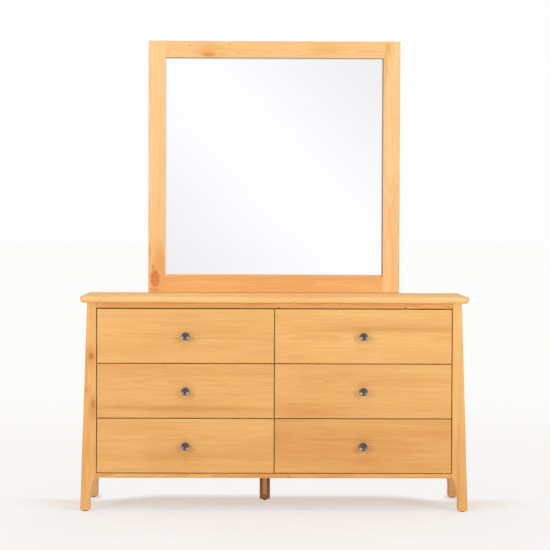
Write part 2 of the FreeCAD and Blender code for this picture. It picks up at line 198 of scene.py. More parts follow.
# Woods: a growth ring's light part and its dark part, a knot, and how strongly the rings show
WOODS = {
    "front": (srgb(242, 191, 116), srgb(216, 149, 77), srgb(166, 92, 46), 0.17),
    "frame": (srgb(247, 205, 146), srgb(228, 170, 99), srgb(196, 102, 48), 0.30),
    "case": (srgb(245, 195, 119), srgb(219, 150, 75), srgb(176, 94, 48), 0.42),
    # Painted light: the back legs' wood is paler than the case's, to offset their shade
    "back_leg": (srgb(255, 200, 131), srgb(231, 153, 83), srgb(176, 94, 48), 0.42),
    "top": (srgb(254, 210, 143), srgb(236, 176, 102), srgb(170, 98, 52), 0.26),
    # The centre leg's stem takes the light colour, painted light that offsets its shade; its flange takes
    # the dark one, partly painted shade
    "centre_leg": (srgb(254, 200, 136), srgb(174, 101, 63), srgb(120, 62, 36), 0.10),
    "plain": (srgb(240, 210, 160), srgb(216, 172, 116), srgb(160, 104, 62), 0.50),
    "plywood": (srgb(226, 196, 148), srgb(204, 166, 114), srgb(170, 126, 80), 0.30),
}

# Finishes: specular level, coat and roughness
FINISHES = {
    "lacquer": (0.35, 0.12, 0.44),
    "worn_lacquer": (0.24, 0.0, 0.62),
    "raw": (0.30, 0.0, 0.62),
}

# Painted shade: a dark line along the mirror frame's foot, where it stands on the top, made as a knot mark
# (see MARKS)
FRAME_FOOT_SHADE = ("knot_and_shade", 0.000, 0.832, 5.000, 0.002, 0.65)

# Knots and stains, placed where they were seen, and among them some painted shade and painted light, noted
# at each, as (kind, x, z, half x, half z, strength). One with a half x of 0.5 or more goes all across its
# board.
MARKS = {
    "mirror_stile_left": (
        ("knot_and_shade", -0.482, 0.888, 0.019, 0.035, 0.95),
        ("knot_and_shade", -0.489, 0.937, 0.005, 0.009, 0.6),
        ("knot_and_shade", -0.498, 0.846, 0.005, 0.005, 0.6),
        ("knot_and_shade", -0.480, 0.843, 0.012, 0.007, 0.6),
        ("stain_and_shade", -0.456, 0.925, 0.011, 0.055, 1.0),
        ("stain_and_shade", -0.472, 0.960, 0.010, 0.040, 0.5),
        ("stain_and_shade", -0.466, 0.855, 0.018, 0.022, 0.6),
        ("stain_and_shade", -0.507, 1.000, 0.005, 0.014, 0.8),
        FRAME_FOOT_SHADE,
    ),
    "mirror_rails": (
        ("knot_and_shade", -0.266, 1.797, 0.024, 0.008, 0.7),
        ("stain_and_shade", -0.266, 1.815, 0.028, 0.022, 0.5),
        ("knot_and_shade", -0.344, 1.833, 0.006, 0.002, 0.5),
        ("knot_and_shade", -0.182, 1.839, 0.004, 0.003, 0.5),
        ("stain_and_shade", 0.210, 1.822, 0.060, 0.018, 0.4),
        ("stain_and_shade", 0.000, 0.866, 1.500, 0.040, 0.3),
        ("stain_and_shade", 0.080, 0.891, 0.300, 0.006, 0.5),
        # Painted shade of the frame's rebate: a dark line along the bottom rail just under the glass
        ("stain_and_shade", 0.000, 0.901, 5.000, 0.003, 1.2),
        FRAME_FOOT_SHADE,
    ),
    "mirror_stile_right": (
        ("stain_and_shade", 0.449, 1.760, 0.008, 0.050, 0.6),
        ("stain_and_shade", 0.460, 1.845, 0.012, 0.030, 0.6),
        FRAME_FOOT_SHADE,
    ),
    "front_leg_left": (
        ("knot_and_shade", -0.706, 0.602, 0.010, 0.012, 0.75),
        ("stain_and_shade", -0.712, 0.596, 0.018, 0.026, 0.6),
        ("knot_and_shade", -0.699, 0.416, 0.007, 0.016, 0.65),
        ("stain_and_shade", -0.700, 0.400, 0.009, 0.034, 0.7),
        ("stain_and_shade", -0.722, 0.470, 0.006, 0.012, 0.5),
        ("knot_and_shade", -0.727, 0.471, 0.003, 0.004, 0.4),
        ("stain_and_shade", -0.720, 0.220, 0.500, 0.060, 0.15),
    ),
    # Painted shade: the right front leg darker towards the floor
    "front_leg_right": (("stain_and_shade", 0.720, 0.150, 0.500, 0.260, 0.3),),
    # Painted light: the centre leg's foot lighter, where light reaches in under the case
    "centre_leg": (("stain_and_shade", -0.034, 0.020, 0.500, 0.045, -0.35),),
    # Painted shade: the middle of the top, in front of the mirror, darker
    "top_panel": (("stain_and_shade", 0.000, 0.832, 0.300, 0.006, 0.6),),
    "top_front_rail": (
        ("knot_and_shade", 0.016, 0.789, 0.005, 0.004, 0.9),
        ("knot_and_shade", 0.505, 0.789, 0.006, 0.004, 0.8),
    ),
    "bottom_front_rail": (
        ("knot_and_shade", 0.055, 0.134, 0.006, 0.003, 0.9),
        ("knot_and_shade", -0.170, 0.138, 0.003, 0.003, 0.7),
    ),
    "drawer_front_upper_right": (("stain_and_shade", 0.560, 0.708, 0.230, 0.009, 0.4),),
    "drawer_front_middle_left": (
        ("stain_and_shade", -0.330, 0.400, 0.340, 0.009, 0.35),
        ("stain_and_shade", -0.420, 0.545, 0.200, 0.012, 0.2),
    ),
    "drawer_front_middle_right": (
        ("stain_and_shade", 0.600, 0.508, 0.200, 0.008, 0.35),
        ("stain_and_shade", 0.100, 0.390, 0.160, 0.030, 0.25),
    ),
    "drawer_front_lower_left": (("stain_and_shade", -0.500, 0.215, 0.200, 0.012, 0.25),),
    "drawer_front_lower_right": (("stain_and_shade", 0.220, 0.250, 0.240, 0.070, 0.2),),
}

# How much darker than its kind of wood a board is. Some of these tones paint shade and some paint light, as
# noted
TONES = {
    "drawer_front_upper_left": -0.05,
    "drawer_front_upper_right": -0.05,
    "drawer_front_middle_left": 0.08,
    "drawer_front_middle_right": 0.08,
    "drawer_front_lower_left": 0.05,
    "drawer_front_lower_right": 0.20,
    "front_leg_right": -0.1,
    # Painted light: the left back leg made paler to offset its shade
    "back_leg_left": -0.4,
    "back_leg_right": 0.15,
    # Painted shade: the top front rail darker under the top's overhang
    "top_front_rail": 0.5,
    "bottom_front_rail": 0.25,
    "mirror_rails": 0.15,
    # Painted light: the centre leg's stem made lighter to offset its shade
    "centre_leg": -0.5,
}


# ----------------------------------------------------------------------------------------------------
# Node graphs
# ----------------------------------------------------------------------------------------------------

class Graph:
    """Nodes of one material or group. A socket's value is either a constant or another node's output."""

    def __init__(self, tree):
        self.tree = tree

    def plug(self, socket, value):
        if isinstance(value, bpy.types.NodeSocket):
            self.tree.links.new(value, socket)
        else:
            socket.default_value = value

    def fill(self, node, values):
        """Give a node's sockets their values, by name or number."""
        for name, value in values.items():
            self.plug(node.inputs[name], value)

    def add(self, kind, values=(), **settings):
        """New node with its settings and its sockets' values."""
        node = self.tree.nodes.new(kind)
        for name, setting in settings.items():
            setattr(node, name, setting)
        self.fill(node, dict(values))
        return node

    def math(self, operation, *values):
        return self.add("ShaderNodeMath", dict(enumerate(values)), operation=operation).outputs[0]

    def sum(self, *values):
        total = values[0]
        for value in values[1:]:
            total = self.math("ADD", total, value)
        return total

    def times(self, *values):
        product = values[0]
        for value in values[1:]:
            product = self.math("MULTIPLY", product, value)
        return product

    def squares(self, first, second):
        return self.sum(self.times(first, first), self.times(second, second))

    def distance(self, first, second):
        return self.math("SQRT", self.squares(first, second))

    def parts(self, vector):
        """A vector's X, Y and Z."""
        return self.add("ShaderNodeSeparateXYZ", {0: vector}).outputs

    def vector(self, x, y, z):
        return self.add("ShaderNodeCombineXYZ", {0: x, 1: y, 2: z}).outputs[0]

    def vector_math(self, operation, first, second):
        return self.add("ShaderNodeVectorMath", {0: first, 1: second}, operation=operation).outputs[0]

    def stretched(self, vector, across, along):
        """Coordinates scaled by across in the first two axes and by along in the third, the grain's."""
        return self.vector_math("MULTIPLY", vector, (across, across, along))

    def noise(self, vector, scale, detail=2.0):
        values = {"Vector": vector, "Scale": scale, "Detail": detail}
        return self.add("ShaderNodeTexNoise", values).outputs["Fac"]

    def centred(self, value, amount):
        """A 0 to 1 value as one around zero, of that amount from end to end."""
        return self.math("MULTIPLY", self.math("SUBTRACT", value, 0.5), amount)

    def smooth(self, value, low, high):
        """0 below low, 1 above high and smooth between."""
        values = {"Value": value, "From Min": low, "From Max": high}
        return self.add("ShaderNodeMapRange", values, interpolation_type="SMOOTHSTEP").outputs[0]

    def inverse(self, value):
        return self.math("SUBTRACT", 1.0, value)

    def mix(self, share, first, second):
        values = {0: share, 6: first, 7: second}
        return self.add("ShaderNodeMix", values, data_type="RGBA").outputs[2]


def new_group(name, inputs, outputs):
    """Empty shader group, its graph, its input node's sockets and its output node's."""
    tree = bpy.data.node_groups.new(name, "ShaderNodeTree")
    for socket, kind in inputs:
        tree.interface.new_socket(socket, in_out="INPUT", socket_type="NodeSocket" + kind)
    for socket, kind in outputs:
        tree.interface.new_socket(socket, in_out="OUTPUT", socket_type="NodeSocket" + kind)
    graph = Graph(tree)
    return tree, graph, graph.add("NodeGroupInput").outputs, graph.add("NodeGroupOutput").inputs


def mark_group():
    """Oval on the boards' front: nearness to its middle, whether inside, its edge and its filling."""
    names = ("X", "Z", "Half X", "Half Z")
    inputs = [("Place", "Vector")] + [(name, "Float") for name in names]
    outputs = [(name, "Float") for name in ("Near", "Heart", "Edge", "Filling")]
    tree, g, given, made = new_group("mark", inputs, outputs)
    place = g.parts(given["Place"])
    wander = g.centred(g.noise(given["Place"], 110.0), 1.0)
    across = g.math("DIVIDE", g.math("SUBTRACT", place["X"], given["X"]), given["Half X"])
    up = g.math("DIVIDE", g.math("SUBTRACT", place["Z"], given["Z"]), given["Half Z"])
    distance = g.sum(g.distance(across, up), wander)
    cloud = g.noise(given["Place"], 210.0, 3.0)
    rings = g.math("SINE", g.times(distance, 17.0))
    g.plug(made["Near"], g.math("EXPONENT", g.times(g.squares(across, up), -0.5)))
    g.plug(made["Heart"], g.inverse(g.smooth(distance, 0.75, 1.1)))
    g.plug(made["Edge"], g.times(g.smooth(distance, 0.6, 0.95), g.inverse(g.smooth(distance, 0.95, 1.25))))
    g.plug(made["Filling"], g.sum(cloud, g.times(rings, 0.16)))
    return tree


def own_stave(g, given, board):
    """Place across a point's own stave, the stave's three random numbers, and the point moved for noise."""
    stave = g.math("FLOOR", g.sum(g.math("DIVIDE", board["X"], given["Stave"]), 0.5))
    across = g.math("SUBTRACT", board["X"], g.times(stave, given["Stave"]))
    dice = g.add("ShaderNodeTexWhiteNoise", {"W": g.sum(stave, given["Seed"])}, noise_dimensions="1D")
    luck = g.add("ShaderNodeSeparateColor", {0: dice.outputs["Color"]}).outputs
    shift = g.times(g.sum(given["Seed"], stave), 3.7)
    point = g.vector_math("ADD", given["Board"], g.vector(shift, shift, shift))
    return across, luck, point


def late_wood(g, given, through, across, luck, point):
    """0 in a growth ring's light part to 1 in its dark, about a pith that wanders along the board."""
    slow = g.stretched(point, 3.0, 1.1)
    wobble = g.centred(g.noise(slow, 1.0), 0.055)
    sag = g.centred(g.noise(slow, 1.7), 0.045)
    side = g.sum(across, g.centred(luck[0], PITH_SPREAD), wobble)
    depth = g.sum(through, PITH_DEPTH, g.times(luck[1], 0.05), sag)
    uneven = g.centred(g.noise(g.stretched(point, 22.0, 1.2), 1.0, 1.0), 1.6)
    turns = g.math("DIVIDE", g.sum(g.distance(side, depth), given["Swirl"]), RING_SPACING)
    phase = g.math("FRACT", g.sum(turns, uneven))
    return g.times(g.smooth(phase, 0.15, 0.9), g.inverse(g.smooth(phase, 0.92, 1.0)))


def grain_colour(g, given, late, luck, point, fibre, cloud):
    """Colour between light and dark wood, from rings, fibres, streaks along the grain and clouds."""
    growth = g.times(g.math("SUBTRACT", late, LATE_MEAN), given["Rings"])
    thread = g.noise(g.stretched(point, 200.0, 7.0), 1.0)
    streak = g.noise(g.stretched(point, 64.0, 2.0), 1.0, 3.0)
    tone = g.sum(0.4, growth, g.centred(streak, 0.6), g.centred(cloud, 0.7), g.centred(thread, 0.6))
    tone = g.sum(tone, g.centred(luck[2], 0.12), g.centred(fibre, 0.55), given["Stain and Shade"])
    tone = g.math("MAXIMUM", g.math("MINIMUM", tone, 1.5), -0.25)
    return g.mix(tone, given["Light"], given["Dark"])


def knot_colour(g, given):
    """Brown, filled unevenly."""
    pale = g.mix(0.6, given["Knot"], given["Dark"])
    return g.mix(g.smooth(given["Filling"], 0.35, 0.7), given["Knot"], pale)


def pine_group():
    """Sawn pine. Board gives a point's place across the width, through the board and along the grain."""
    floats = ("Seed", "Stave", "Rings", "Dullness", "Swirl", "Stain and Shade", "Heart", "Filling")
    inputs = [("Board", "Vector")] + [(name, "Float") for name in floats]
    inputs += [("Light", "Color"), ("Dark", "Color"), ("Knot", "Color")]
    outputs = [("Color", "Color"), ("Roughness", "Float"), ("Height", "Float")]
    tree, g, given, made = new_group("pine", inputs, outputs)
    board = g.parts(given["Board"])
    across, luck, point = own_stave(g, given, board)
    late = late_wood(g, given, board["Y"], across, luck, point)
    fibre = g.noise(g.stretched(point, 620.0, 11.0), 1.0, 3.0)
    cloud = g.noise(g.stretched(point, 9.0, 2.6), 1.0)
    wood_colour = grain_colour(g, given, late, luck, point, fibre, cloud)
    heart = g.times(given["Heart"], 0.95)
    g.plug(made["Color"], g.mix(heart, wood_colour, knot_colour(g, given)))
    g.plug(made["Roughness"], g.sum(given["Dullness"], g.centred(fibre, 0.14), g.centred(cloud, 0.08)))
    g.plug(made["Height"], g.sum(g.times(late, 0.4), g.times(fibre, 0.8), g.times(heart, -0.3)))
    return tree


MARK = mark_group()
PINE = pine_group()


# ----------------------------------------------------------------------------------------------------
# Materials
# ----------------------------------------------------------------------------------------------------

def new_tree(name):
    """Material with an emptied tree, its graph and the socket that takes its surface."""
    material = bpy.data.materials.new(name)
    material.use_nodes = True
    material.node_tree.nodes.clear()
    g = Graph(material.node_tree)
    return material, g, g.add("ShaderNodeOutputMaterial").inputs["Surface"]


def new_material(name):
    """Material with its graph and its Principled shader, already wired."""
    material, g, surface = new_tree(name)
    shader = g.add("ShaderNodeBsdfPrincipled")
    g.plug(surface, shader.outputs[0])
    return material, g, shader


def place_of(g):
    """The point in the frame at rest, whatever the pose."""
    return g.add("ShaderNodeTexCoord").outputs["Object"]


def board_place(g, node, axes, first, swap_behind):
    """Place on a board: axes names the frame's axis across, through and along. first is a stave's middle.

    Behind swap_behind the through and along axes change places, for a box's back among its sides.
    """
    low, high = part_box(node)
    place = g.parts(place_of(g))
    centre = (low + high) / 2
    values = []
    for i, axis in enumerate(axes):
        number = "xyz".index(axis)
        origin = first if i == 0 and first is not None else centre[number]
        values.append(g.math("SUBTRACT", place[number], origin))
    across, through, along = values
    usual = g.vector(across, through, along)
    if swap_behind is None:
        return usual
    return g.mix(g.math("GREATER_THAN", place["Y"], swap_behind), usual, g.vector(across, along, through))


def add_marks(g, marks, tone):
    """Knots, stains and painted shade and light of one board as sums for the pine group, on top of the
    board's own tone.
    """
    swirl = 0.0
    stain_and_shade = tone
    heart = 0.0
    filling = 0.0
    for kind, x, z, half_x, half_z, strength in marks:
        values = {"Place": place_of(g), "X": x, "Z": z, "Half X": half_x, "Half Z": half_z}
        mark = g.add("ShaderNodeGroup", values, node_tree=MARK).outputs
        if kind == "knot_and_shade":
            swirl = g.sum(g.times(mark["Near"], KNOT_SWIRL), swirl)
            shade = g.times(mark["Near"], 0.3 * strength)
            stain_and_shade = g.sum(shade, g.times(mark["Edge"], 0.9 * strength), stain_and_shade)
            heart = g.math("MAXIMUM", g.times(mark["Heart"], strength), heart)
            filling = g.sum(g.times(mark["Filling"], mark["Heart"]), filling)
        else:
            stain_and_shade = g.sum(g.times(mark["Near"], strength), stain_and_shade)
    return {"Swirl": swirl, "Stain and Shade": stain_and_shade, "Heart": heart, "Filling": filling}


def wood(node, axes, kind, finish, seed, stave=ONE_BOARD, first=None, swap_behind=None, flange=None):
    """Pine or plywood on one node, with the grain along the last of its axes.

    stave is the width after which the figure changes, and first a stave's middle. Behind swap_behind the
    boards run across the others. Behind flange, a place along Y as well, a T-shaped leg is darker: partly
    darker wood and partly painted shade.
    """
    material, g, shader = new_material("wood_" + node)
    light, dark, knot_and_shade, rings = WOODS[kind]
    specular, coat, roughness = FINISHES[finish]
    tone = TONES.get(node, 0.0)
    if flange is not None:
        # Darker wood and painted shade on the flange behind the stem
        on_flange = g.math("GREATER_THAN", g.parts(place_of(g))["Y"], flange)
        tone = g.sum(tone, g.times(on_flange, FLANGE_TONE_AND_SHADE))
    values = {"Board": board_place(g, node, axes, first, swap_behind), "Seed": seed, "Stave": stave}
    values.update(add_marks(g, MARKS.get(node, ()), tone))
    values.update({"Rings": rings, "Dullness": roughness, "Light": light, "Dark": dark, "Knot": knot_and_shade})
    pine = g.add("ShaderNodeGroup", values, node_tree=PINE).outputs
    bump = g.add("ShaderNodeBump", {"Strength": 0.25, "Distance": 0.0003, "Height": pine["Height"]})
    g.fill(shader, {
        "Base Color": pine["Color"],
        "Roughness": pine["Roughness"],
        "Normal": bump.outputs[0],
        "Specular IOR Level": specular,
        "Coat Weight": coat,
        "Coat Roughness": 0.25,
    })
    return material


def gunmetal(place, name):
    """Satin plating of one knob, browner towards its middle, with faint turning lines."""
    material, g, shader = new_material("gunmetal_" + name)
    point = place_of(g)
    offset = g.parts(g.vector_math("SUBTRACT", point, tuple(place)))
    radius = g.distance(offset["X"], offset["Z"])
    fine = g.noise(point, 1400.0)
    cloud = g.centred(g.noise(point, 160.0), 0.4)
    lines = g.math("SINE", g.times(radius, 9000.0))
    outward = g.sum(g.smooth(radius, 0.002, 0.011), cloud)
    colour = g.mix(outward, srgb(92, 82, 71), srgb(103, 103, 102))
    g.fill(shader, {
        "Base Color": g.mix(g.times(fine, 0.3), colour, srgb(74, 72, 70)),
        "Roughness": g.sum(0.3, g.centred(fine, 0.1), g.times(lines, 0.02)),
        "Metallic": 1.0,
    })
    return material


def zinc_steel():
    """Zinc-plated sheet, drawn along Y, with the spangle of the plating."""
    material, g, shader = new_material("zinc_steel")
    drawn = g.vector_math("MULTIPLY", place_of(g), (900.0, 14.0, 900.0))
    lines = g.noise(drawn, 1.0, 3.0)
    spangle = g.noise(place_of(g), 110.0)
    colour = g.mix(spangle, srgb(168, 172, 176), srgb(206, 208, 208))
    g.fill(shader, {
        "Base Color": g.mix(g.times(lines, 0.25), colour, srgb(120, 122, 124)),
        "Roughness": g.sum(0.34, g.centred(lines, 0.2)),
        "Metallic": 1.0,
    })
    return material


def mirror_silver():
    """Silvered float glass, a little uneven, with painted shade as a dark line along its right and its upper
    sight edge.
    """
    material, g, shader = new_material("mirror")
    uneven = g.noise(place_of(g), 3.0, 1.0)
    place = g.parts(place_of(g))
    stile_low, stile_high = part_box("mirror_stile_right")
    sight_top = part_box("mirror_rails")[1].z - (stile_high.x - stile_low.x)
    # Painted shade of the frame's rebate along the right and the upper sight edge
    right = g.math("GREATER_THAN", place["X"], stile_low.x - MIRROR_SHADE_RIGHT)
    upper = g.math("GREATER_THAN", place["Z"], sight_top - MIRROR_SHADE_TOP)
    painted_shade = g.times(g.math("MAXIMUM", right, upper), MIRROR_SHADE_DEPTH)
    silver = g.mix(uneven, srgb(250, 252, 252), srgb(254, 254, 255))
    g.fill(shader, {
        "Base Color": g.mix(painted_shade, silver, srgb(92, 84, 78)),
        "Roughness": g.times(uneven, 0.02),
        "Metallic": 1.0,
    })
    return material


def plastic(name, light, dark, roughness):
    """Moulded plastic with a fine grain."""
    material, g, shader = new_material(name)
    grain = g.noise(place_of(g), 900.0, 3.0)
    bump = g.add("ShaderNodeBump", {"Strength": 0.2, "Distance": 0.0002, "Height": grain})
    g.fill(shader, {
        "Base Color": g.mix(grain, light, dark),
        "Roughness": g.sum(roughness, g.centred(grain, 0.15)),
        "Normal": bump.outputs[0],
    })
    return material


# ----------------------------------------------------------------------------------------------------
# Looks of the carried-over nodes
# ----------------------------------------------------------------------------------------------------

def centres_between(node, axis, width):
    """First middle and distance of the two equal boards, each that wide, at a node's ends along an axis."""
    low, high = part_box(node)
    number = "xyz".index(axis)
    return low[number] + width / 2, high[number] - low[number] - width


def outer_boards(put):
    """Top board, legs, side panels, front rails and the mirror's frame."""
    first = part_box("top_panel")[0].y + TOP_STAVE / 2
    put("top_panel", "yzx", "top", "worn_lacquer", stave=TOP_STAVE, first=first)
    for side in COLUMNS:
        put(f"front_leg_{side}", "xyz", "case")
        put(f"back_leg_{side}", "xyz", "back_leg")
        put(f"side_panel_{side}", "yxz", "case", stave=SIDE_STAVE)
        put(f"mirror_stile_{side}", "xyz", "frame")
    for end in ("top", "bottom"):
        put(f"{end}_front_rail", "zyx", "case")
    stile_low, stile_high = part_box("mirror_stile_right")
    first, pitch = centres_between("mirror_rails", "z", stile_high.x - stile_low.x)
    put("mirror_rails", "zyx", "frame", first=first, stave=pitch)


def drawer_boards(put):
    """Each drawer's front, box and bottom."""
    for name in DRAWERS:
        put(f"drawer_front_{name}", "zyx", "front")
        back_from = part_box(f"drawer_box_{name}")[1].y - BOX_WALL - BEFORE_WALL
        put(f"drawer_box_{name}", "zxy", "plain", "raw", swap_behind=back_from)
        put(f"drawer_bottom_{name}", "xzy", "plywood", "raw", stave=DRAWER_VENEER)


def inner_boards(put):
    """What lies behind and inside the case and behind the mirror, and the centre leg."""
    put("back_rails", "zyx", "plain", "raw", stave=RAILS_APART)
    put("back_panel", "xyz", "plywood", "raw", stave=BACK_VENEER)
    put("mirror_back_board", "xyz", "plywood", "raw", stave=MIRROR_BACK_VENEER)
    put("centre_partition", "yxz", "plain", "raw")
    put("centre_bearer", "xzy", "plain", "raw")
    flange_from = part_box("centre_leg")[1].y - CENTRE_FLANGE - BEFORE_FLANGE
    put("centre_leg", "xyz", "centre_leg", flange=flange_from)
    put("slide_battens", "zxy", "plain", "raw", stave=BATTENS_APART)
    first, pitch = centres_between("mirror_supports", "x", BATTEN_WIDTH)
    put("mirror_supports", "xyz", "plain", "raw", first=first, stave=pitch)


def board_materials():
    """Every wooden node's material by node name. A board's seed follows from its place in the order."""
    made = {}

    def put(node, axes, kind, finish="lacquer", **options):
        made[node] = wood(node, axes, kind, finish, 1 + len(made) * SEED_STEP, **options)

    outer_boards(put)
    drawer_boards(put)
    inner_boards(put)
    return made


def cover(node, material):
    """Give a carried-over node its material."""
    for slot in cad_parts[node].material_slots:
        slot.material = material


def soften(node, ease):
    """Clean a carried-over node's faces and round its sharp edges."""
    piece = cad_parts[node]
    weld = piece.modifiers.new("weld", "WELD")
    weld.merge_threshold = WELD_DISTANCE
    clean = piece.modifiers.new("clean", "DECIMATE")
    clean.decimate_type = "DISSOLVE"
    clean.angle_limit = FLAT_ANGLE
    bevel = piece.modifiers.new("bevel", "BEVEL")
    bevel.width = ease
    bevel.segments = 2
    bevel.limit_method = "ANGLE"
    bevel.angle_limit = SHARP_ANGLE
    piece.modifiers.new("normals", "WEIGHTED_NORMAL")


def dress_nodes():
    """Materials of all carried-over nodes, with soft edges on boards and slides."""
    for node, material in board_materials().items():
        cover(node, material)
        soften(node, BOARD_EASE)
    slides = ["slide_cabinet_members"]
    for name in DRAWERS:
        slides += [f"slide_inner_members_{name}", f"slide_middle_members_{name}"]
    for node in slides:
        cover(node, ZINC)
        soften(node, SHEET_EASE)
    cover("mirror_glass", mirror_silver())
    cover("foot_glides", plastic("glide_plastic", srgb(26, 21, 18), srgb(38, 31, 27), 0.6))


ZINC = zinc_steel()
dress_nodes()


# ----------------------------------------------------------------------------------------------------
# Turned pieces
# ----------------------------------------------------------------------------------------------------

def arc(radius, out, size, start, end, steps):
    """Points (radius, out) round a middle, between two angles in degrees, where 0 points off the axis."""
    points = []
    for i in range(steps + 1):
        angle = math.radians(start + (end - start) * i / steps)
        points.append((radius + size * math.cos(angle), out + size * math.sin(angle)))
    return points


def turned(bm, rings, place, outward, steps):
    """Solid of rings about an axis. A ring is (radius, out), and a radius may be a function of the angle."""
    turn = Vector((0, 0, 1)).rotation_difference(outward).to_matrix().to_4x4()
    matrix = Matrix.Translation(place) @ turn
    loops = []
    for radius, out in rings:
        loop = []
        for i in range(steps):
            angle = 2 * math.pi * i / steps
            size = radius(angle) if callable(radius) else radius
            point = Vector((size * math.cos(angle), size * math.sin(angle), out))
            loop.append(bm.verts.new(matrix @ point))
        loops.append(loop)
    close_loops(bm, loops)


def close_loops(bm, loops):
    """Faces between each loop and the next, and one over each end."""
    for near, far in zip(loops, loops[1:]):
        for i in range(len(near)):
            j = (i + 1) % len(near)
            bm.faces.new((near[i], near[j], far[j], far[i]))
    bm.faces.new(loops[0][::-1])
    bm.faces.new(loops[-1])


def cross_outline(half_width, reach):
    """Radius of a cross-shaped recess by angle."""
    def radius(angle):
        folded = abs((angle + math.pi / 4) % (math.pi / 2) - math.pi / 4)
        if math.tan(folded) <= half_width / reach:
            return reach / math.cos(folded)
        return half_width / math.sin(folded)
    return radius


def finish_piece(name, bm, material, body):
    """Object of a built mesh, smooth but for its sharp edges, that rides on a body."""
    bmesh.ops.recalc_face_normals(bm, faces=bm.faces)
    mesh = bpy.data.meshes.new(name)
    bm.to_mesh(mesh)
    bm.free()
    mesh.materials.append(material)
    mesh.shade_smooth()
    mesh.set_sharp_from_angle(angle=SHARP_ANGLE)
    piece = bpy.data.objects.new(name, mesh)
    bpy.context.scene.collection.objects.link(piece)
    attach(piece, body)
    return piece


def knob_rings(reach):
    """Knob from its base on the front to its dished face: rounded base, waisted neck, ringed head."""
    rings = [(0.0085, 0.0), (0.009, 0.0006)]
    rings += arc(0.0082, 0.0022, 0.0008, 0, 90, 4)
    rings += arc(0.0090, 0.0080, 0.0050, 252, 180, 8)[1:]
    rings += [(0.0042, 0.0135)]
    rings += arc(0.0102, 0.0135, 0.0060, 180, 108, 8)[1:]
    rings += [(0.0125, reach - 0.0072)]
    rings += arc(0.0137, reach - 0.0048, 0.0023, -70, 0, 6)
    rings += arc(0.0148, reach - 0.0012, 0.0012, 0, 90, 6)
    # The dished face, from its edge inwards
    edge_turn = -math.degrees(math.acos(KNOB_DISH_EDGE / KNOB_DISH_RADIUS))
    dish_top = reach - 0.0001 - KNOB_DISH_RADIUS * math.sin(math.radians(edge_turn))
    rings += arc(0.0, dish_top, KNOB_DISH_RADIUS, edge_turn, -89.4, 14)
    return rings


def knobs():
    """Knobs in place of the plain ones, each with its screw's head inside the drawer."""
    for name in DRAWERS:
        low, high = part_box(f"knob_{name}")
        middle = (low + high) / 2
        body = f"drawer_{name}"
        bm = bmesh.new()
        base = Vector((middle.x, high.y, middle.z))
        turned(bm, knob_rings(high.y - low.y), base, TO_FRONT, KNOB_STEPS)
        piece = finish_piece(f"turned_knob_{name}", bm, gunmetal(base, name), body)
        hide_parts(f"knob_{name}")
        bm = bmesh.new()
        inside = Vector((middle.x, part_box(f"drawer_front_{name}")[1].y, middle.z))
        washer(bm, inside, TO_BACK)
        pan_head(bm, inside + TO_BACK * WASHER_HEIGHT, TO_BACK, KNOB_SCREW_RADIUS)
        finish_piece(f"knob_screw_{name}", bm, ZINC, body)


# ----------------------------------------------------------------------------------------------------
# Screws and slide fittings
# ----------------------------------------------------------------------------------------------------

def washer(bm, place, outward):
    rings = [(WASHER_RADIUS, 0.0), (WASHER_RADIUS, WASHER_HEIGHT - WASHER_EASE)]
    rings.append((WASHER_RADIUS - WASHER_EASE, WASHER_HEIGHT))
    turned(bm, rings, place, outward, SCREW_STEPS)


def pan_head(bm, place, outward, radius):
    """Domed screw head with a cross recess."""
    cross = cross_outline(radius * 0.17, radius * 0.62)
    height = radius * 0.55
    rings = [(radius, 0.0), (radius, height * 0.35)]
    rings += [(radius * 0.94, height * 0.7), (radius * 0.8, height * 0.93), (radius * 0.68, height)]
    rings += [(cross, height), (cross_outline(radius * 0.1, radius * 0.4), height * 0.25)]
    turned(bm, rings, place, outward, SCREW_STEPS)


def flat_head(bm, place, outward, radius, steps=SCREW_STEPS):
    """Countersunk screw head with a cross recess, all but flush with the wood."""
    cross = cross_outline(radius * 0.16, radius * 0.6)
    rings = [(radius * 0.7, -0.0016), (radius, 0.0), (radius * 0.98, 0.0003), (cross, 0.0003)]
    rings.append((cross_outline(radius * 0.1, radius * 0.4), -0.0012))
    turned(bm, rings, place, outward, steps)


def support_screws():
    """Four screws through each support batten: two into the mirror frame and two into the case."""
    low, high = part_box("mirror_supports")
    frame_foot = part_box("mirror_stile_right")[0].z
    heights = [frame_foot + up for up in SUPPORT_SCREWS_UP] + [high.z - SUPPORT_SCREW_DOWN]
    bm = bmesh.new()
    for side in (-1, 1):
        across = side * (high.x - BATTEN_WIDTH / 2)
        for height in heights:
            flat_head(bm, Vector((across, high.y, height)), TO_BACK, SUPPORT_SCREW_RADIUS)
    finish_piece("support_screws", bm, ZINC, "case")


def evenly(start, end, count):
    return [start + (end - start) * i / (count - 1) for i in range(count)]


def board_screws(name, node, inset, columns, rows, radius):
    """Small screws round the edge of a board at the back, but for those that a batten would hide."""
    low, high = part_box(node)
    batten_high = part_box("mirror_supports")[1]
    across = evenly(low.x + inset, high.x - inset, columns)
    up = evenly(low.z + inset, high.z - inset, rows)
    places = [(x, z) for x in across for z in (up[0], up[-1])]
    places += [(x, z) for z in up[1:-1] for x in (across[0], across[-1])]
    bm = bmesh.new()
    for x, z in places:
        from_batten = abs(abs(x) - (batten_high.x - BATTEN_WIDTH / 2))
        hidden = from_batten < BATTEN_WIDTH / 2 + radius * 2 and z < batten_high.z
        if not hidden:
            flat_head(bm, Vector((x, high.y, z)), TO_BACK, radius, PIN_STEPS)
    finish_piece(name, bm, ZINC, "case")


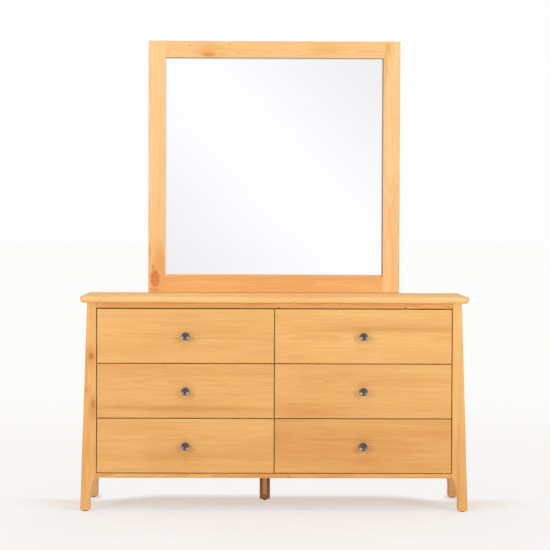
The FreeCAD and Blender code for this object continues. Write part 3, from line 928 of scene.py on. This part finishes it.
def lever(bm, web, inward, y, z):
    """Bent release lever that lies on a slide member's web: a boss, an arm and a thumb pad."""
    half = LEVER_HALF
    outline = [
        (0.0, -half), (0.034, -half * 0.7), (0.041, -half - 0.002), (0.052, -half - 0.002),
        (0.055, 0.0), (0.052, half), (0.038, half * 0.9), (0.0, half), (-0.004, 0.0),
    ]
    loops = []
    for out in (0.0, LEVER_THICKNESS):
        loops.append([bm.verts.new((web + inward * out, y + along, z + up)) for along, up in outline])
    close_loops(bm, loops)


def slide_fittings():
    """On each drawer: the screws that hold its slide members, and their black release levers."""
    lever_plastic = plastic("lever_plastic", srgb(30, 31, 33), srgb(42, 43, 45), 0.45)
    for name in DRAWERS:
        low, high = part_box(f"slide_inner_members_{name}")
        box_low, box_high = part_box(f"drawer_box_{name}")
        middle = (low.z + high.z) / 2
        screws = bmesh.new()
        levers = bmesh.new()
        for wall, outward in ((box_low.x, -1), (box_high.x, 1)):
            web = wall + outward * SLIDE_SHEET
            for share in SLIDE_SCREW_SHARES:
                place = Vector((web, low.y + (high.y - low.y) * share, middle))
                pan_head(screws, place, Vector((outward, 0, 0)), SLIDE_SCREW_RADIUS)
            lever(levers, web, outward, high.y - LEVER_FROM_END, middle)
        finish_piece(f"slide_screws_{name}", screws, ZINC, f"drawer_{name}")
        finish_piece(f"slide_levers_{name}", levers, lever_plastic, f"drawer_{name}")


knobs()
support_screws()
board_screws("back_panel_screws", "back_panel", inset=0.012, columns=9, rows=5, radius=0.0032)
board_screws("mirror_board_screws", "mirror_back_board", inset=0.006, columns=7, rows=7, radius=0.0028)
slide_fittings()


# ----------------------------------------------------------------------------------------------------
# Floor, card, light and camera
# ----------------------------------------------------------------------------------------------------

def seen_directly(g):
    """1 for what is seen straight, in a mirror or through glass, and 0 for light that falls on things."""
    rays = g.add("ShaderNodeLightPath").outputs
    direct = g.math("MAXIMUM", rays["Is Camera Ray"], rays["Is Glossy Ray"])
    return g.math("MAXIMUM", direct, rays["Is Transmission Ray"])


def rectangle(name, corners, material):
    mesh = bpy.data.meshes.new(name)
    mesh.from_pydata(corners, [], [tuple(range(len(corners)))])
    mesh.materials.append(material)
    piece = bpy.data.objects.new(name, mesh)
    bpy.context.scene.collection.objects.link(piece)
    return piece


def near_back_feet(g, place):
    """1 round the two back glides, where the floor keeps their shadow too, and 0 further off."""
    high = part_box("foot_glides")[1]
    reach_x, reach_y = FOOT_SHADE_REACH
    beside = g.math("SUBTRACT", g.math("ABSOLUTE", place["X"]), high.x - GLIDE_RADIUS)
    behind = g.math("SUBTRACT", place["Y"], high.y - GLIDE_RADIUS)
    distance = g.distance(g.math("DIVIDE", beside, reach_x), g.math("DIVIDE", behind, reach_y))
    return g.inverse(g.smooth(distance, *FOOT_SHADE_EDGE))


def floor_clear(g, place, distance):
    """0 where the floor shows the dresser's shadow, growing to 1 where it clears into the background."""
    aside = g.math("ABSOLUTE", place["X"])
    moved = g.times(g.smooth(aside, *FLOOR_CLEAR_ENDS), FLOOR_CLEAR_SHIFT)
    behind = g.smooth(g.sum(place["Y"], moved), *FLOOR_CLEAR_BEHIND)
    beside = g.smooth(aside, *FLOOR_CLEAR_BESIDE)
    around = g.smooth(distance, *FLOOR_CLEAR_AROUND)
    clear = g.math("MAXIMUM", g.math("MAXIMUM", behind, beside), around)
    return g.times(clear, g.inverse(near_back_feet(g, place)))


def floor():
    """Pale floor that keeps the dresser's shadow and clears into the background round it."""
    material, g, surface = new_tree("floor")
    place = g.parts(place_of(g))
    distance = g.distance(place["X"], place["Y"])
    clear = floor_clear(g, place, distance)
    dust = g.noise(place_of(g), 7.0)
    ground = g.add("ShaderNodeBsdfPrincipled", {
        "Base Color": g.mix(dust, srgb(242, 241, 240), srgb(246, 245, 244)),
        "Roughness": g.sum(0.8, g.centred(dust, 0.1)),
        "Specular IOR Level": 0.1,
    })
    far = g.mix(g.smooth(distance, *FLOOR_PALE_FROM), srgb(246, 245, 243), srgb(252, 252, 251))
    # Painted warm shade: the glow turns warm under the dresser
    near = g.mix(g.smooth(place["Y"], *FLOOR_WARM_SHADE_Y), srgb(252, 252, 251), srgb(250, 238, 229))
    glow = g.add("ShaderNodeEmission", {"Color": g.mix(clear, near, far)})
    share = g.sum(FLOOR_GLOW_NEAR, g.times(clear, 1 - FLOOR_GLOW_NEAR))
    values = {0: g.times(share, seen_directly(g)), 1: ground.outputs[0], 2: glow.outputs[0]}
    g.plug(surface, g.add("ShaderNodeMixShader", values).outputs[0])
    half = FLOOR_HALF
    rectangle("floor", [(-half, -half, 0), (half, -half, 0), (half, half, 0), (-half, half, 0)], material)


def card_band(g, place):
    """Brightness of the card's diagonal band, which falls off to both sides of its centre."""
    across = g.math("SUBTRACT", place["X"], CARD_CENTRE[0])
    up = g.math("SUBTRACT", place["Z"], CARD_CENTRE[1])
    diagonal = g.math("DIVIDE", g.sum(across, up), CARD_SCALE)
    distance = g.math("SQRT", g.sum(g.times(diagonal, diagonal), CARD_ROUNDING))
    return g.math("MAXIMUM", g.math("SUBTRACT", CARD_PEAK, g.times(distance, CARD_FALL)), CARD_LEAST)


def card_dark(g, place):
    """0 on the card's bright part and 1 past it, to the left, to the right and above."""
    left, right = CARD_BRIGHT_X
    far_left = g.inverse(g.smooth(place["X"], left - CARD_SOFTNESS, left))
    far_right = g.smooth(place["X"], right, right + CARD_SOFTNESS)
    high_up = g.smooth(place["Z"], CARD_BRIGHT_Z, CARD_BRIGHT_Z + CARD_SOFTNESS)
    return g.math("MAXIMUM", g.math("MAXIMUM", far_left, far_right), high_up)


def card():
    """Studio wall that only reflections show."""
    material, g, surface = new_tree("card")
    place = g.parts(place_of(g))
    dark = card_dark(g, place)
    bright = g.times(card_band(g, place), g.inverse(dark))
    glow = g.add("ShaderNodeEmission", {
        "Color": g.mix(dark, srgb(255, 254, 255), srgb(252, 252, 252)),
        "Strength": g.sum(bright, g.times(dark, CARD_DARK)),
    })
    g.plug(surface, glow.outputs[0])
    half = CARD_HALF_WIDTH
    low = [(-half, CARD_Y, 0), (half, CARD_Y, 0)]
    high = [(half, CARD_Y, CARD_HEIGHT), (-half, CARD_Y, CARD_HEIGHT)]
    piece = rectangle("card", low + high, material)
    piece.visible_camera = False
    piece.visible_diffuse = False
    piece.visible_shadow = False


def area_light(name, place, aim, size, power):
    light = bpy.data.lights.new(name, "AREA")
    light.shape = "RECTANGLE"
    light.size, light.size_y = size
    light.energy = power
    piece = bpy.data.objects.new(name, light)
    piece.location = place
    piece.rotation_euler = (aim - place).to_track_quat("-Z", "Y").to_euler()
    bpy.context.scene.collection.objects.link(piece)


def lights():
    for side, name in ((-1, "left"), (1, "right")):
        mirrored = Vector((side, 1, 1))
        front = SOFTBOX_PLACE * mirrored
        back = BACK_LIGHT_PLACE * mirrored
        area_light(f"softbox_{name}", front, SOFTBOX_AIM, SOFTBOX_SIZE, SOFTBOX_POWER)
        area_light(f"back_light_{name}", back, TOP_AND_BACK_AIM, BACK_LIGHT_SIZE, BACK_LIGHT_POWER)
    area_light("top_light", TOP_LIGHT_PLACE, TOP_AND_BACK_AIM, TOP_LIGHT_SIZE, TOP_LIGHT_POWER)


def room():
    """Even pale light, with a white background for what is seen directly."""
    world = bpy.data.worlds.new("room")
    world.use_nodes = True
    world.node_tree.nodes.clear()
    g = Graph(world.node_tree)
    grey = srgb(BACKGROUND_GREY, BACKGROUND_GREY, BACKGROUND_GREY)
    light = g.add("ShaderNodeBackground", {"Color": srgb(255, 253, 250), "Strength": ROOM_LIGHT})
    shown = g.add("ShaderNodeBackground", {"Color": grey, "Strength": 1.0})
    blend = g.add("ShaderNodeMixShader", {0: seen_directly(g), 1: light.outputs[0], 2: shown.outputs[0]})
    g.add("ShaderNodeOutputWorld", {"Surface": blend.outputs[0]})
    bpy.context.scene.world = world


def camera():
    """Camera at the picture's place, turned a little to the right, down, and rolled."""
    level = math.cos(CAMERA_DOWN)
    across = math.sin(CAMERA_TURN) * level
    along = math.cos(CAMERA_TURN) * level
    forward = Vector((across, along, -math.sin(CAMERA_DOWN)))
    right = Vector((math.cos(CAMERA_TURN), -math.sin(CAMERA_TURN), 0))
    up = right.cross(forward)
    rolled_right = right * math.cos(CAMERA_ROLL) + up * math.sin(CAMERA_ROLL)
    rolled_up = up * math.cos(CAMERA_ROLL) - right * math.sin(CAMERA_ROLL)
    data = bpy.data.cameras.new("camera")
    data.sensor_width = SENSOR_WIDTH
    data.lens = FOCAL_PIXELS / IMAGE_WIDTH * SENSOR_WIDTH
    piece = bpy.data.objects.new("camera", data)
    turn = Matrix((rolled_right, rolled_up, -forward)).transposed().to_4x4()
    piece.matrix_world = Matrix.Translation(CAMERA_PLACE) @ turn
    bpy.context.scene.collection.objects.link(piece)
    bpy.context.scene.camera = piece


floor()
card()
lights()
room()
camera()
bpy.context.scene.view_settings.view_transform = "Standard"
